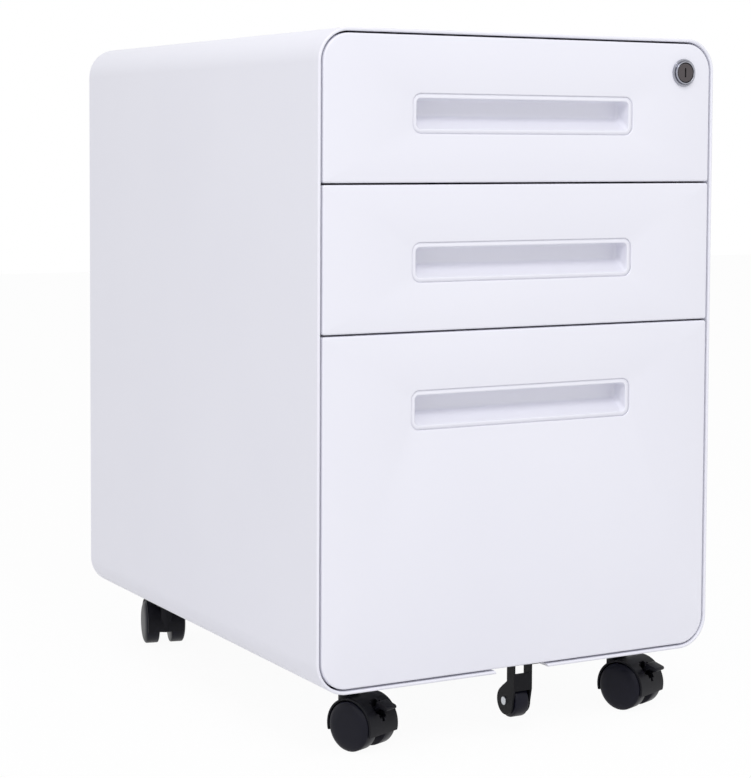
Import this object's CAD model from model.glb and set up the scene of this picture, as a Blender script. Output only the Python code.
"""Mobile pedestal filing cabinet: the finish of every surface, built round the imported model."""

import math

import bmesh
import bpy
from mathutils import Matrix, Vector


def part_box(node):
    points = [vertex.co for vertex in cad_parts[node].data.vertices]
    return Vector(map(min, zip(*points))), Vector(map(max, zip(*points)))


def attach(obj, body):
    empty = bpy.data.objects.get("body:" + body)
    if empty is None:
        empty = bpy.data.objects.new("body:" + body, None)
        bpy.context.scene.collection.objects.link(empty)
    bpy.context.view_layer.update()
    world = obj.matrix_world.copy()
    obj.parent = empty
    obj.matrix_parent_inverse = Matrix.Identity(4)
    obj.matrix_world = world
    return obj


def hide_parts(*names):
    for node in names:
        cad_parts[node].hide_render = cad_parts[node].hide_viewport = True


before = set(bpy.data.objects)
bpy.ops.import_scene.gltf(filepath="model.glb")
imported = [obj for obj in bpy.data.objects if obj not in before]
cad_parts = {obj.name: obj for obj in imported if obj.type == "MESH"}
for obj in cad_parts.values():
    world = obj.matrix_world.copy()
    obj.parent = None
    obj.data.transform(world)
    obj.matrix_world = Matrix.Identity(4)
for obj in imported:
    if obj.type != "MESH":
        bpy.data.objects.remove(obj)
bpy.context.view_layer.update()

# ---------------------------------------------------------------- camera
# A long lens a little below the cabinet's top, well off to its front left. The view drops by only
# a few degrees and a lens shift does the rest, so the cabinet's uprights stay almost upright.
MM = 0.001
CAMERA_X = -952.9 * MM
CAMERA_AHEAD = 1467.0 * MM
CAMERA_Z = 503.8 * MM
CAMERA_TURN = -28.884
CAMERA_DROP = 3.495
CAMERA_ROLL = 0.274
front_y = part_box("case_shell")[0].y

camera_data = bpy.data.cameras.new("camera")
camera_data.sensor_width = 36
camera_data.lens = 96.15
camera_data.shift_y = -0.15
camera_data.clip_start = 0.05
camera_data.clip_end = 50
camera = bpy.data.objects.new("camera", camera_data)
bpy.context.collection.objects.link(camera)
camera.matrix_world = (
    Matrix.Translation((CAMERA_X, front_y - CAMERA_AHEAD, CAMERA_Z))
    @ Matrix.Rotation(math.radians(CAMERA_TURN), 4, "Z")
    @ Matrix.Rotation(math.radians(90 - CAMERA_DROP), 4, "X")
    @ Matrix.Rotation(math.radians(CAMERA_ROLL), 4, "Z")
)
bpy.context.scene.camera = camera
bpy.context.scene.view_settings.view_transform = "Standard"

# ---------------------------------------------------------------- case wrapper
# One sheet of 1 mm steel folded into a tube with rounded long edges. Its front edge is rolled
# back on itself into a smooth rim, and the bottom rim is notched for the anti-tip fork.
SHEET = 1.0 * MM
RIM = 2.8 * MM
RIM_DEPTH = 11 * MM
CASE_R = 28 * MM
BACK_FLANGE = 12 * MM
CORNER_STEPS = 20
BEND_STEPS = 5
SMALLEST_R = 0.3 * MM
WELD = 0.001 * MM
SHARP_ANGLE = 35
# the notch's corners as (x, z) in mm, low left first; it starts ahead of the front and runs back
NOTCH = ((-23, 55), (30, 55), (25, 62.5), (-27, 62.5))
NOTCH_START = -2 * MM
NOTCH_LENGTH = 29 * MM


def colour(hex_text):
    """An sRGB hex colour as the linear values that a socket takes."""
    channels = [int(hex_text[i:i + 2], 16) / 255 for i in (1, 3, 5)]
    return [c / 12.92 if c <= 0.04045 else ((c + 0.055) / 1.055) ** 2.4 for c in channels] + [1]


def add(tree, kind, links=None, **settings):
    """Adds a node, sets its properties and sockets, and links its inputs."""
    node = tree.nodes.new(kind)
    for name, value in settings.items():
        if name in node.bl_rna.properties:
            setattr(node, name, value)
        else:
            node.inputs[name].default_value = value
    for name, source in (links or {}).items():
        tree.links.new(source, node.inputs[name])
    return node


def blank_material(name):
    """A material with its tree, its shader and the shader's object coordinates."""
    material = bpy.data.materials.new(name)
    material.use_nodes = True
    tree = material.node_tree
    shader = tree.nodes["Principled BSDF"]
    place = add(tree, "ShaderNodeTexCoord").outputs["Object"]
    return material, tree, shader, place


def powder_coat(name, pale, dark, roughness):
    """Baked polyester powder on steel: an even satin with a fine orange-peel surface."""
    material, tree, shader, place = blank_material(name)
    cloud = add(tree, "ShaderNodeTexNoise", {"Vector": place}, Scale=1 / (180 * MM), Detail=2)
    tint = add(tree, "ShaderNodeMix", {"Factor": cloud.outputs["Fac"]}, data_type="RGBA")
    tint.inputs[6].default_value = colour(dark)
    tint.inputs[7].default_value = colour(pale)
    tree.links.new(tint.outputs[2], shader.inputs["Base Color"])
    # real orange peel is about 1.5 mm across and a few microns deep; it is drawn at 2 mm
    peel = add(tree, "ShaderNodeTexNoise", {"Vector": place}, Scale=1 / (2 * MM), Detail=3)
    bump = add(tree, "ShaderNodeBump", {"Height": peel.outputs["Fac"]}, Strength=0.25,
               Distance=0.03 * MM)
    tree.links.new(bump.outputs["Normal"], shader.inputs["Normal"])
    spread = add(tree, "ShaderNodeMapRange", {"Value": peel.outputs["Fac"]})
    spread.inputs["To Min"].default_value = roughness - 0.04
    spread.inputs["To Max"].default_value = roughness + 0.04
    tree.links.new(spread.outputs["Result"], shader.inputs["Roughness"])
    shader.inputs["IOR"].default_value = 1.5
    return material


def rounded_face(bm, x0, x1, z0, z1, y, radii):
    """A flat face across Y, with a radius for each corner, from low left round by low right."""
    before = set(bm.faces)
    corners = [bm.verts.new(p) for p in ((x0, y, z0), (x1, y, z0), (x1, y, z1), (x0, y, z1))]
    bm.faces.new(corners)
    for corner, radius in zip(corners, radii):
        bmesh.ops.bevel(bm, geom=[corner], offset=max(radius, SMALLEST_R), affect="VERTICES",
                        segments=CORNER_STEPS, profile=0.5, material=-1, clamp_overlap=False)
    return next(f for f in bm.faces if f not in before)


def shrunk(outline, inset, y):
    """An outline (x0, x1, z0, z1, corner radii) drawn in by an inset, and placed at a y."""
    x0, x1, z0, z1, radii = outline
    return (x0 + inset, x1 - inset, z0 + inset, z1 - inset, y, [r - inset for r in radii])


def loft(bm, rings, cap_first=False, cap_last=False, joined=False):
    """Joins rounded outlines in order into one sheet, which can close on itself or be capped."""
    faces = [rounded_face(bm, *ring) for ring in rings]
    loops = []
    for face, (x0, _, z0, _, y, radii) in zip(faces, rings):
        # every loop starts where its low left corner meets its lower edge
        start = Vector((x0 + max(radii[0], SMALLEST_R), y, z0))
        verts = list(face.verts)
        first = min(range(len(verts)), key=lambda k: (verts[k].co - start).length)
        loops.append(verts[first:] + verts[:first])
    bmesh.ops.delete(bm, geom=faces, context="FACES_ONLY")
    for one, other in zip(loops, loops[1:] + loops[:1] * joined):
        for k in range(len(one)):
            bm.faces.new((one[k - 1], one[k], other[k], other[k - 1]))
    if cap_first:
        bm.faces.new(loops[0])
    if cap_last:
        bm.faces.new(loops[-1])
    bmesh.ops.recalc_face_normals(bm, faces=bm.faces)


def bend(radius, steps, inwards=True):
    """(inset, rise) points round a quarter bend, from a side wall to a front or on past it."""
    turns = [math.pi / 2 * k / steps for k in range(steps + 1)]
    if inwards:
        return [(radius * (1 - math.cos(t)), radius * math.sin(t)) for t in turns]
    return [(radius * math.sin(t), radius * (1 - math.cos(t))) for t in turns]


def extruded(bm, corners, shift):
    """Adds a solid to a bmesh: a flat ring of corners, pushed along by a shift."""
    face = bm.faces.new([bm.verts.new(corner) for corner in corners])
    grown = bmesh.ops.extrude_face_region(bm, geom=[face])
    moved = [v for v in grown["geom"] if isinstance(v, bmesh.types.BMVert)]
    bmesh.ops.translate(bm, vec=shift, verts=moved)


def finished(bm, name, body, material, replaces):
    """Turns a bmesh into an object that rides on a body, with sharp edges past an angle."""
    bmesh.ops.remove_doubles(bm, verts=bm.verts, dist=WELD)
    mesh = bpy.data.meshes.new(name)
    bm.to_mesh(mesh)
    bm.free()
    mesh.shade_smooth()
    mesh.set_sharp_from_angle(angle=math.radians(SHARP_ANGLE))
    mesh.materials.append(material)
    piece = bpy.data.objects.new(name, mesh)
    bpy.context.collection.objects.link(piece)
    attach(piece, body)
    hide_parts(*replaces)
    return piece


white_coat = powder_coat("white_polyester_powder_coat", "#E9E9F2", "#E4E4EE", 0.42)

case_lo, case_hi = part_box("case_shell")
case_back = case_hi.y
flange_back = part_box("back_panel")[0].y
case_outline = (case_lo.x, case_hi.x, case_lo.z, case_hi.z, [CASE_R] * 4)
half_rim = RIM / 2
rim_path = [(i, front_y + half_rim - rise) for i, rise in bend(half_rim, BEND_STEPS)]
rim_path += [(half_rim + i, front_y + drop) for i, drop in bend(half_rim, BEND_STEPS, False)[1:]]
case_path = [(0, case_back)] + rim_path + [
    (RIM, front_y + RIM_DEPTH), (SHEET, front_y + RIM_DEPTH), (SHEET, flange_back - SHEET),
    (BACK_FLANGE, flange_back - SHEET), (BACK_FLANGE, flange_back), (SHEET, flange_back),
    (SHEET, case_back)]
wrapper = bmesh.new()
loft(wrapper, [shrunk(case_outline, inset, y) for inset, y in case_path], joined=True)
case_wrapper = finished(wrapper, "case_wrapper", "case", white_coat, ["case_shell"])

# the bottom rim is notched where the anti-tip fork passes, and both its ends slant the same way
notch = bmesh.new()
extruded(notch, [(x * MM, front_y + NOTCH_START, z * MM) for x, z in NOTCH], (0, NOTCH_LENGTH, 0))
bmesh.ops.recalc_face_normals(notch, faces=notch.faces)
notch_data = bpy.data.meshes.new("notch_cutter")
notch.to_mesh(notch_data)
notch.free()
cutter = bpy.data.objects.new("notch_cutter", notch_data)
bpy.context.collection.objects.link(cutter)
cut = case_wrapper.modifiers.new("notch", "BOOLEAN")
cut.operation = "DIFFERENCE"
cut.solver = "EXACT"
cut.object = cutter
cut_mesh = bpy.data.meshes.new_from_object(
    case_wrapper.evaluated_get(bpy.context.evaluated_depsgraph_get()))
case_wrapper.modifiers.remove(cut)
case_wrapper.data = cut_mesh
bpy.data.objects.remove(cutter)

# ---------------------------------------------------------------- drawer fronts
# Shallow folded pans of 1 mm sheet, powder coated like the case and closed by a liner behind.
# The outer corners of the stack follow the case, and each front has an opening for its pull.
FRONT_BEND = 1.8 * MM
LINER_INSET = 1.1 * MM
LINER_FRONT = 20.05 * MM
LINER_BACK = 20.95 * MM
FRONT_DEPTH = 20 * MM
OUTER_R = 23.6 * MM
PULL_HALF_X = 109.5 * MM
PULL_HALF_Z = 16.5 * MM
PULL_DROP = 63.7 * MM
PULL_R = 8 * MM
HOLE_EDGE = 0.8 * MM
EDGE_STEPS = 4
SQUARE_EASE = 0.4 * MM
fronts = (("top", (0, 0, OUTER_R, OUTER_R)), ("middle", (0, 0, 0, 0)),
          ("file", (OUTER_R, OUTER_R, 0, 0)))
for drawer, radii in fronts:
    lo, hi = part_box(drawer + "_front")
    # the corners that look square are eased a little more than the bend between them
    radii = [max(r, FRONT_BEND + SQUARE_EASE) for r in radii]
    pull_z = hi.z - PULL_DROP
    panel = (lo.x, hi.x, lo.z, hi.z, radii)
    hole = (-PULL_HALF_X - HOLE_EDGE, PULL_HALF_X + HOLE_EDGE, pull_z - PULL_HALF_Z - HOLE_EDGE,
            pull_z + PULL_HALF_Z + HOLE_EDGE, [PULL_R + HOLE_EDGE] * 4)
    rings = [shrunk(panel, 0, front_y + FRONT_DEPTH)]
    rings += [shrunk(panel, i, front_y + FRONT_BEND - rise)
              for i, rise in bend(FRONT_BEND, BEND_STEPS)]
    rings += [shrunk(hole, i, front_y + drop) for i, drop in bend(HOLE_EDGE, EDGE_STEPS, False)]
    # the inside of the sheet, back to the folded edge
    rings += [shrunk(hole, HOLE_EDGE, front_y + SHEET), shrunk(panel, SHEET, front_y + SHEET),
              shrunk(panel, SHEET, front_y + FRONT_DEPTH)]
    pan = bmesh.new()
    loft(pan, rings, joined=True)
    loft(pan, [shrunk(panel, LINER_INSET, front_y + LINER_FRONT),
               shrunk(panel, LINER_INSET, front_y + LINER_BACK)], cap_first=True, cap_last=True)
    finished(pan, drawer + "_front_panel", drawer + "_drawer", white_coat,
             [drawer + "_front"])

# ---------------------------------------------------------------- finger pulls
# Pressed steel cups in the same coat: a flat sunk border, an eased lip, and a pocket that is
# deep under the top edge and slopes forward to the lower lip, for fingers to hook up behind.
PULL_SINK = 1.0 * MM
BORDER = 4 * MM
LIP = 0.6 * MM
CUP_BACK = 18 * MM
CUP_FILLET = 3 * MM
FILLET_STEPS = 8
POCKET_R = 4 * MM
PULL_SHEET = 0.8 * MM
CUP_LOW_AT_FILLET = -3.1 * MM
OPENING_HALF_X = 105.5 * MM
OPENING_HALF_Z = 12.5 * MM
for drawer, _ in fronts:
    pull_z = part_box(drawer + "_front")[1].z - PULL_DROP
    border = (-PULL_HALF_X, PULL_HALF_X, pull_z - PULL_HALF_Z, pull_z + PULL_HALF_Z, [PULL_R] * 4)
    pocket = (-OPENING_HALF_X, OPENING_HALF_X, pull_z + CUP_LOW_AT_FILLET,
              pull_z + OPENING_HALF_Z, [POCKET_R] * 4)
    sunk = front_y + PULL_SINK
    rings = [shrunk(border, 0, sunk)]
    rings += [shrunk(border, BORDER - LIP + i, sunk + drop)
              for i, drop in bend(LIP, EDGE_STEPS, False)]
    rings += [shrunk(pocket, i, front_y + CUP_BACK - CUP_FILLET + rise)
              for i, rise in bend(CUP_FILLET, FILLET_STEPS)]
    cup = bmesh.new()
    loft(cup, rings, cap_last=True)
    # the pocket is an open sheet, so its faces are turned to look out of the drawer
    if sum(f.normal.y * f.calc_area() for f in cup.faces) > 0:
        bmesh.ops.reverse_faces(cup, faces=cup.faces)
    pressed = finished(cup, drawer + "_pull_pressing", drawer + "_drawer",
                       white_coat, [drawer + "_pull_cup"])
    wall = pressed.modifiers.new("sheet", "SOLIDIFY")
    wall.thickness = PULL_SHEET
    wall.offset = -1

# ---------------------------------------------------------------- lock
# A cam lock: a chrome-plated bezel with an outer flange, a groove and a raised rounded ring,
# round a darkened nickel plug that sits below the ring and carries the key slot.
LOCK_X = 163 * MM
BORE_R = 8.05 * MM
BARREL_R = 9.5 * MM
TURN_STEPS = 96


def turned(profile, centre, axis, out):
    """Spins (radius, distance along the axis) points into a closed round piece."""
    bm = bmesh.new()
    along = Vector(axis)
    middle = Vector(centre)
    side = Vector(out)
    points = [bm.verts.new(middle + along * distance + side * radius)
              for radius, distance in profile]
    edges = [bm.edges.new(pair) for pair in zip(points, points[1:])]
    bmesh.ops.spin(bm, geom=points + edges, cent=middle, axis=along, angle=2 * math.pi,
                   steps=TURN_STEPS, use_merge=True)
    bmesh.ops.remove_doubles(bm, verts=bm.verts, dist=WELD)
    bmesh.ops.recalc_face_normals(bm, faces=bm.faces)
    return bm


def plated(name, base, roughness, spread):
    """A bright metal plate: a clean reflection, a little uneven from the plating bath."""
    material, tree, shader, place = blank_material(name)
    shader.inputs["Base Color"].default_value = colour(base)
    shader.inputs["Metallic"].default_value = 1.0
    cloud = add(tree, "ShaderNodeTexNoise", {"Vector": place}, Scale=1 / (6 * MM), Detail=4)
    haze = add(tree, "ShaderNodeMapRange", {"Value": cloud.outputs["Fac"]})
    haze.inputs["To Min"].default_value = roughness - spread
    haze.inputs["To Max"].default_value = roughness + spread
    tree.links.new(haze.outputs["Result"], shader.inputs["Roughness"])
    # folded and turned edges are never quite sharp, and they catch the light
    edge = add(tree, "ShaderNodeBevel", Radius=0.3 * MM)
    tree.links.new(edge.outputs["Normal"], shader.inputs["Normal"])
    return material


chrome = plated("chrome_plate", "#A6A7B0", 0.10, 0.03)
nickel = plated("darkened_nickel", "#5C5759", 0.26, 0.05)
lock_lo, lock_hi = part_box("lock_housing")
lock_back = lock_hi.y - front_y
lock_z = (lock_lo.z + lock_hi.z) / 2
face_at = Vector((LOCK_X, front_y, lock_z))
bezel = turned(
    [(BORE_R, lock_back), (BARREL_R, lock_back), (BARREL_R, 0),
     (12 * MM, 0), (12 * MM, -0.9 * MM), (11.8 * MM, -1.3 * MM), (11.4 * MM, -1.5 * MM),
     (10.7 * MM, -1.4 * MM), (10.4 * MM, -0.7 * MM), (10.0 * MM, -0.7 * MM),
     (9.95 * MM, -2.9 * MM), (9.8 * MM, -3.3 * MM), (9.4 * MM, -3.5 * MM), (9.0 * MM, -3.4 * MM),
     (8.7 * MM, -3.0 * MM), (8.6 * MM, -2.0 * MM), (BORE_R, -1.6 * MM),
     (BORE_R, lock_back)],
    face_at, (0, 1, 0), (1, 0, 0))
finished(bezel, "lock_bezel", "top_drawer", chrome, ["lock_housing"])

# ---------------------------------------------------------------- caster wheels
# Twin wheels of glass-filled nylon with a narrow tread, and a smooth slightly domed disc that
# is satin from the mould.
NYLON_SPARK = 0.02 * MM
WHEEL_IN = 6.2 * MM
WHEEL_OUT = 20.6 * MM
WHEEL_R = 21 * MM
FRONT_TURN = 22
REAR_TURN = 166


def nylon(name, base, roughness, grain):
    """Moulded nylon: a dark satin with the fine matt grain of a spark-eroded mould."""
    material, tree, shader, place = blank_material(name)
    shader.inputs["Base Color"].default_value = colour(base)
    shader.inputs["Specular IOR Level"].default_value = 0.18
    spark = add(tree, "ShaderNodeTexNoise", {"Vector": place}, Scale=1 / (0.9 * MM), Detail=4)
    edge = add(tree, "ShaderNodeBevel", Radius=0.5 * MM)
    bump = add(tree, "ShaderNodeBump", {"Height": spark.outputs["Fac"],
                                        "Normal": edge.outputs["Normal"]},
               Strength=grain, Distance=NYLON_SPARK)
    tree.links.new(bump.outputs["Normal"], shader.inputs["Normal"])
    haze = add(tree, "ShaderNodeMapRange", {"Value": spark.outputs["Fac"]})
    haze.inputs["To Min"].default_value = roughness - 0.05
    haze.inputs["To Max"].default_value = roughness + 0.05
    tree.links.new(haze.outputs["Result"], shader.inputs["Roughness"])
    return material


wheel_nylon = nylon("moulded_wheel_nylon", "#0F0F1C", 0.38, 0.3)
hood_nylon = nylon("moulded_hood_nylon", "#0E0E15", 0.48, 0.8)
casters = (("front_left", FRONT_TURN), ("front_right", FRONT_TURN),
           ("rear_left", REAR_TURN), ("rear_right", REAR_TURN))
for corner, turn in casters:
    pin_lo, pin_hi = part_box(corner + "_axle")
    pin = (pin_lo + pin_hi) / 2
    across = Vector((math.cos(math.radians(turn)), math.sin(math.radians(turn)), 0))
    for side, sign in (("left", -1), ("right", 1)):
        wheel = turned(
            [(0, WHEEL_IN), (WHEEL_R - 1 * MM, WHEEL_IN), (WHEEL_R - 0.3 * MM, WHEEL_IN + 0.3 * MM),
             (WHEEL_R, WHEEL_IN + 1 * MM), (WHEEL_R, WHEEL_OUT - 3 * MM),
             (WHEEL_R - 0.4 * MM, WHEEL_OUT - 2.2 * MM), (WHEEL_R - 1.2 * MM, WHEEL_OUT - 1.6 * MM),
             (WHEEL_R - 2.4 * MM, WHEEL_OUT - 1.0 * MM), (WHEEL_R - 4 * MM, WHEEL_OUT - 0.5 * MM),
             (WHEEL_R - 7 * MM, WHEEL_OUT - 0.15 * MM), (WHEEL_R - 10 * MM, WHEEL_OUT),
             (0, WHEEL_OUT)],
            pin, across * sign, (0, 0, 1))
        finished(wheel, f"{corner}_{side}_wheel", f"{corner}_{side}_roller",
                 wheel_nylon, [f"{corner}_wheel_{side}"])

# ---------------------------------------------------------------- brake levers
# Front casters only: a small nylon lever that droops forward over the hood, moulded with
# rounded edges for the thumb or toe.
LEVER_ARC = 12
LEVER_PIVOT = (0, -14 * MM, 34 * MM)
PAD_HALF = 6.5
NECK_HALF = 3.6
LEVER_EDGE = 0.4 * MM
EDGE_ANGLE = 1.2


def arc(centre, radius, start, end):
    """Points of an arc in the lever's side view, angles in degrees."""
    turns = [math.radians(start + (end - start) * k / LEVER_ARC) for k in range(LEVER_ARC + 1)]
    return [(centre[0] + radius * math.cos(t), centre[1] + radius * math.sin(t)) for t in turns]


for corner, turn in casters[:2]:
    pin_lo, pin_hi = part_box(corner + "_axle")
    pin = (pin_lo + pin_hi) / 2
    pose = Matrix.Translation((pin.x, pin.y, 0)) @ Matrix.Rotation(math.radians(turn), 4, "Z")
    pivot = pose @ Matrix.Translation(LEVER_PIVOT)
    lever = bmesh.new()
    pad = arc((-7, 6.6), 2.3, 60, 100) + arc((-15.4, 4.4), 1.8, 100, 250) + [(-7, 4.3)]
    neck = arc((0, 0), 3, -60, 75) + [(-8.8, 8.4), (-8.8, 4.5)]
    for outline, half in ((pad, PAD_HALF), (neck, NECK_HALF)):
        extruded(lever, [pivot @ Vector((-half * MM, y * MM, z * MM)) for y, z in outline],
                 pose.to_3x3() @ Vector((2 * half * MM, 0, 0)))
    bmesh.ops.recalc_face_normals(lever, faces=lever.faces)
    rims = [e for e in lever.edges if len(e.link_faces) == 2 and e.calc_face_angle() > EDGE_ANGLE]
    bmesh.ops.bevel(lever, geom=rims, offset=LEVER_EDGE, affect="EDGES", segments=3,
                    profile=0.5, material=-1, clamp_overlap=True)
    finished(lever, corner + "_brake_thumb_lever", corner + "_brake_lever",
             hood_nylon, [corner + "_brake"])

# ---------------------------------------------------------------- anti-tip wheel
# A small plain roller under the file drawer, with a soft satin tread and eased edges, that
# touches down only if the open drawer tips the cabinet.
ROLLER_R = 14.5 * MM
ROLLER_HALF = 6.7 * MM
ROLLER_BORE = 2.6 * MM
roller_lo, roller_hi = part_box("anti_tip_wheel")
hub = (roller_lo + roller_hi) / 2
roller = turned(
    [(ROLLER_BORE, -ROLLER_HALF), (12.6 * MM, -ROLLER_HALF), (13.6 * MM, -6.4 * MM),
     (14.2 * MM, -5.9 * MM), (ROLLER_R, -5.0 * MM), (ROLLER_R, 5.0 * MM),
     (14.2 * MM, 5.9 * MM), (13.6 * MM, 6.4 * MM), (12.6 * MM, ROLLER_HALF),
     (ROLLER_BORE, ROLLER_HALF), (ROLLER_BORE, -ROLLER_HALF)],
    hub, (1, 0, 0), (0, 0, 1))
finished(roller, "anti_tip_tread", "anti_tip_roller", wheel_nylon,
         ["anti_tip_wheel"])

# ---------------------------------------------------------------- finishes of the CAD pieces
# The boxes, back and frame are coated sheet, the slides and fixings bright zinc plate, the
# anti-tip fork black powder coat, and the hoods dark moulded nylon.
black_coat = powder_coat("black_polyester_powder_coat", "#0F0F14", "#0C0C10", 0.5)
# the black coat is a duller, low-gloss one
black_coat.node_tree.nodes["Principled BSDF"].inputs["Specular IOR Level"].default_value = 0.15
inner_coat = powder_coat("inner_polyester_powder_coat", "#E6E6EE", "#E1E1EA", 0.46)
zinc = plated("bright_zinc_plate", "#C6C9CE", 0.30, 0.06)
finish_of_slot = {
    "case_paint": white_coat, "inner_paint": inner_coat, "zinc_steel": zinc,
    "lock_chrome": chrome, "plug_steel": nickel, "black_enamel": black_coat,
    "black_roller": wheel_nylon, "hood_nylon": hood_nylon, "wheel_nylon": wheel_nylon,
}
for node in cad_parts.values():
    for slot in node.material_slots:
        if slot.material:
            slot_name = slot.material.name.split(".")[0]
            slot.material = finish_of_slot.get(slot_name, slot.material)

# ---------------------------------------------------------------- floor and light
# A plain white paper floor in an even pale surround, lit by a large soft box from high in front
# and a weaker one from the left. Seen directly the paper is mostly its own glow, so it fades
# into the white surround.
STUDIO = 6.0
FLOOR_GLOW = 0.95
AMBIENT = 0.69


def seen_directly(tree):
    """1 for rays from the camera, off a gloss or through glass, and 0 for all other light."""
    rays = add(tree, "ShaderNodeLightPath")
    seen = add(tree, "ShaderNodeMath", {0: rays.outputs["Is Camera Ray"],
                                        1: rays.outputs["Is Glossy Ray"]}, operation="MAXIMUM")
    seen = add(tree, "ShaderNodeMath", {0: seen.outputs[0],
                                        1: rays.outputs["Is Transmission Ray"]},
               operation="MAXIMUM")
    return seen.outputs[0]


floor_mesh = bmesh.new()
bmesh.ops.create_grid(floor_mesh, x_segments=1, y_segments=1, size=STUDIO)
floor_data = bpy.data.meshes.new("studio_floor")
floor_mesh.to_mesh(floor_data)
floor_mesh.free()
floor = bpy.data.objects.new("studio_floor", floor_data)
bpy.context.collection.objects.link(floor)

paper, paper_tree, paper_shader, _ = blank_material("white_studio_paper")
paper_shader.inputs["Base Color"].default_value = colour("#F0F0F0")
paper_shader.inputs["Roughness"].default_value = 0.9
paper_shader.inputs["Specular IOR Level"].default_value = 0.0
glow = add(paper_tree, "ShaderNodeEmission", Strength=1.0)
share = add(paper_tree, "ShaderNodeMath", {0: seen_directly(paper_tree)}, operation="MULTIPLY")
share.inputs[1].default_value = FLOOR_GLOW
mixed = add(paper_tree, "ShaderNodeMixShader", {0: share.outputs[0],
                                                1: paper_shader.outputs[0],
                                                2: glow.outputs[0]})
paper_tree.links.new(mixed.outputs[0], paper_tree.nodes["Material Output"].inputs["Surface"])
floor_data.materials.append(paper)

world = bpy.data.worlds.new("studio")
world.use_nodes = True
bpy.context.scene.world = world
sky = world.node_tree
ambient = sky.nodes["Background"]
ambient.inputs["Color"].default_value = (1, 1, 1, 1)
ambient.inputs["Strength"].default_value = AMBIENT
backdrop = add(sky, "ShaderNodeBackground", Color=(1, 1, 1, 1), Strength=1.0)
sky_mix = add(sky, "ShaderNodeMixShader", {0: seen_directly(sky), 1: ambient.outputs[0],
                                           2: backdrop.outputs[0]})
sky.links.new(sky_mix.outputs[0], sky.nodes["World Output"].inputs["Surface"])


def soft_box(name, place, aim, size, power):
    """A square area lamp that faces a point."""
    data = bpy.data.lights.new(name, "AREA")
    data.energy = power
    data.size = size
    lamp = bpy.data.objects.new(name, data)
    lamp.location = place
    lamp.rotation_euler = (Vector(aim) - Vector(place)).to_track_quat("-Z", "Y").to_euler()
    bpy.context.collection.objects.link(lamp)


soft_box("key_light", (-0.6, -2.0, 2.6), (0, -0.2, 0.35), 1.6, 38)
soft_box("side_fill", (-2.8, -0.9, 1.3), (-0.2, 0, 0.35), 1.6, 8)
